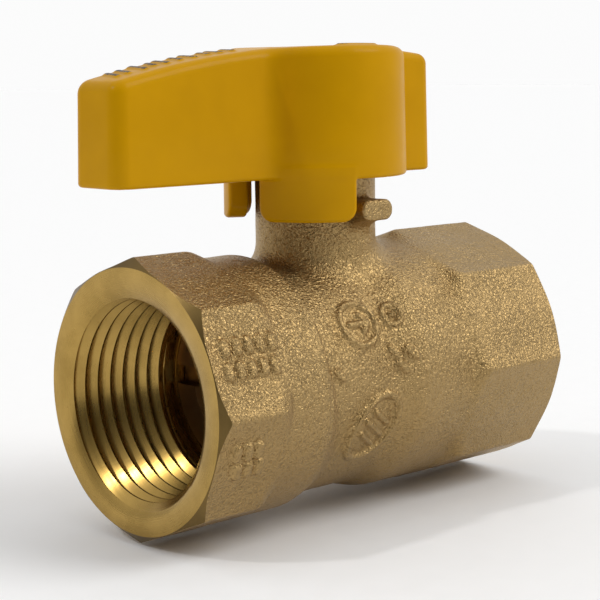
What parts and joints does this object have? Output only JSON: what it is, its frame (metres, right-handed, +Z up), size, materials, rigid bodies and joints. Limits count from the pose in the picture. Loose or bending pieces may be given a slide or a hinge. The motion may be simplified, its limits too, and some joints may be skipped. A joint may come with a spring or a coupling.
{
  "type": "gas ball valve",
  "caption": "Quarter-turn gas ball valve with an octagonal-ended forged brass body, female pipe threads, a stop peg and a short coated lever in line with the pipe when open.",
  "frame": {"origin": "centre of the inlet port, at the port's face, on the pipe axis", "axes": "+X along the pipe axis from the inlet to the outlet, +Z up along the stem, the lever lies towards -X when the valve is open"},
  "size_m": [0.063, 0.0336, 0.0575],
  "materials": {
    "forged_brass": "grit-blasted forging, grainy, machined at the port faces and threads",
    "machined_brass": "turned, fine tool marks",
    "chrome_plate": "polished plating",
    "ptfe": "turned, waxy",
    "nitrile": "moulded, slightly greased",
    "yellow_coat": "glossy yellow coat over a zinc casting",
    "zinc_steel": "bright zinc plating"
  },
  "bodies": {
    "valve": {"valve_body": "forged_brass", "seat_retainer": "machined_brass", "inlet_seat": "ptfe", "outlet_seat": "ptfe", "thrust_washer": "ptfe"},
    "ball": {"ball": "chrome_plate"},
    "handle_set": {"stem": "machined_brass", "stem_o_ring_lower": "nitrile", "stem_o_ring_upper": "nitrile", "handle": "yellow_coat", "spring_washer": "zinc_steel", "handle_screw": "zinc_steel"}
  },
  "joints": [
    {"name": "handle_turn", "type": "hinge", "parent": "valve", "child": "handle_set", "pos_m": [0.0293, 0, 0.0208], "axis": [0, 0, 1], "range_deg": [-90, 0]},
    {"name": "ball_turn", "type": "hinge", "parent": "valve", "child": "ball", "pos_m": [0.0293, 0, 0], "axis": [0, 0, 1], "range_deg": [-90, 0]}
  ],
  "couplings": [
    {"joint": "ball_turn", "follows": "handle_turn", "ratio": 1}
  ]
}
